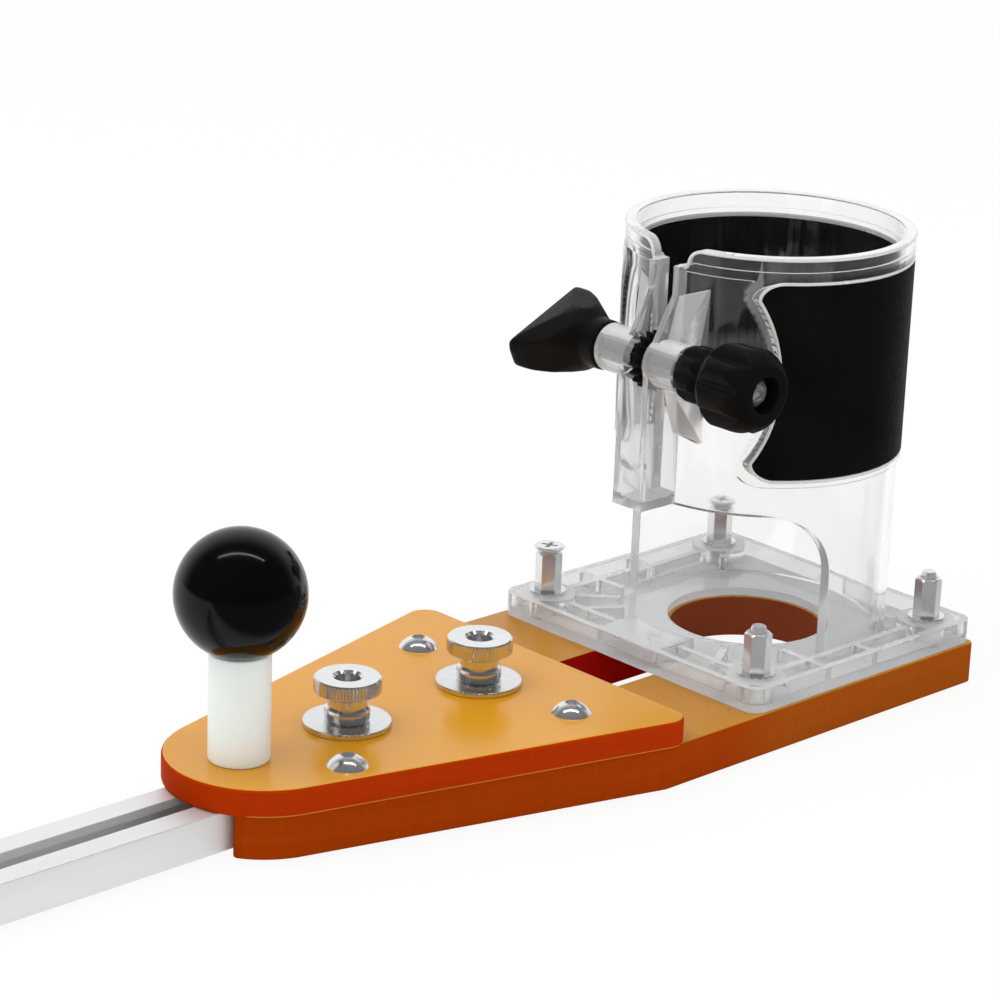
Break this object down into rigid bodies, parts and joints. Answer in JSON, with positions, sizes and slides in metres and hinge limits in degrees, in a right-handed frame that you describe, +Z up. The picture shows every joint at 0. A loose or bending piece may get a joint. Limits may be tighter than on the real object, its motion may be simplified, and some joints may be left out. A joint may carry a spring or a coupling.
{
  "type": "router circle cutting jig",
  "caption": "Router circle cutting jig: stacked orange plates on a sliding T-slot rail, a ball handle at the nose and a clear clamping base for a trim router motor.",
  "frame": {"origin": "centre of the cutter hole on the underside of the lower plate, which lies on the work surface", "axes": "+Z up along the router axis; +X from the handle and the rail towards the router; +Y to the wing nut side"},
  "size_m": [0.4132, 0.0934, 0.117],
  "materials": {
    "base_plate": "phenolic sheet, satin sawn edges, glossy faces",
    "top_plate": "phenolic sheet, glossy faces",
    "chrome_screws": "bright plated",
    "rail": "clear anodised",
    "bolts": "zinc plated",
    "washers": "zinc plated",
    "thumb_nuts": "nickel plated",
    "handle_post": "white nylon rod",
    "ball_knob": "polished black",
    "inserts": "turned",
    "clear_base": "clear moulded plastic",
    "grip": "soft moulded",
    "black_plastic": "fine moulded texture",
    "pillars": "nickel plated"
  },
  "bodies": {
    "body": {"base_plate": "base_plate", "top_plate": "top_plate", "plate_screws": "chrome_screws", "front_washer": "washers", "rear_washer": "washers", "handle_post": "handle_post", "handle_bolt": "bolts", "ball_knob": "ball_knob", "ball_insert": "inserts", "clear_base": "clear_base", "grip_sleeve": "grip", "base_screws": "pillars", "stud_screws": "pillars", "pillar_washers": "washers", "hex_pillars": "pillars", "flare_screws": "pillars"},
    "slide_rail": {"rail": "rail"},
    "pivot": {"pivot_pin": "bolts"},
    "front_nut": {"front_thumb_nut": "thumb_nuts"},
    "front_bolt": {"front_t_bolt": "bolts"},
    "rear_nut": {"rear_thumb_nut": "thumb_nuts"},
    "rear_bolt": {"rear_t_bolt": "bolts"},
    "depth_drive": {"pinion": "black_plastic", "depth_knob": "black_plastic"},
    "wing": {"wing_nut": "black_plastic", "wing_insert": "inserts"},
    "through_screw": {"clamp_screw": "chrome_screws"}
  },
  "joints": [
    {"name": "rail_slide", "type": "slide", "parent": "body", "child": "slide_rail", "axis": [-1, 0, 0], "range_m": [-0.05, 0.01]},
    {"name": "pivot_pin_lift", "type": "slide", "parent": "slide_rail", "child": "pivot", "axis": [0, 0, 1], "range_m": [-0.008, 0.004]},
    {"name": "front_nut_turn", "type": "hinge", "parent": "body", "child": "front_nut", "pos_m": [-0.1356, 0, 0.024], "axis": [0, 0, 1], "range_deg": [0, 360]},
    {"name": "front_bolt_drop", "type": "slide", "parent": "body", "child": "front_bolt", "axis": [0, 0, -1], "range_m": [0, 0.001]},
    {"name": "rear_nut_turn", "type": "hinge", "parent": "body", "child": "rear_nut", "pos_m": [-0.0943, 0, 0.024], "axis": [0, 0, 1], "range_deg": [0, 360]},
    {"name": "rear_bolt_drop", "type": "slide", "parent": "body", "child": "rear_bolt", "axis": [0, 0, -1], "range_m": [0, 0.001]},
    {"name": "depth_knob_turn", "type": "hinge", "parent": "body", "child": "depth_drive", "pos_m": [-0.041, -0.02, 0.089], "axis": [0, 1, 0], "continuous": true},
    {"name": "wing_nut_turn", "type": "hinge", "parent": "body", "child": "wing", "pos_m": [-0.041, 0.02, 0.089], "axis": [0, 1, 0], "range_deg": [0, 270]},
    {"name": "clamp_screw_slide", "type": "slide", "parent": "body", "child": "through_screw", "axis": [0, -1, 0], "range_m": [0, 0.00053]}
  ],
  "couplings": [
    {"joint": "front_bolt_drop", "follows": "front_nut_turn", "m_per_rad": 0.000159},
    {"joint": "rear_bolt_drop", "follows": "rear_nut_turn", "m_per_rad": 0.000159},
    {"joint": "clamp_screw_slide", "follows": "wing_nut_turn", "m_per_rad": 0.0001114}
  ]
}
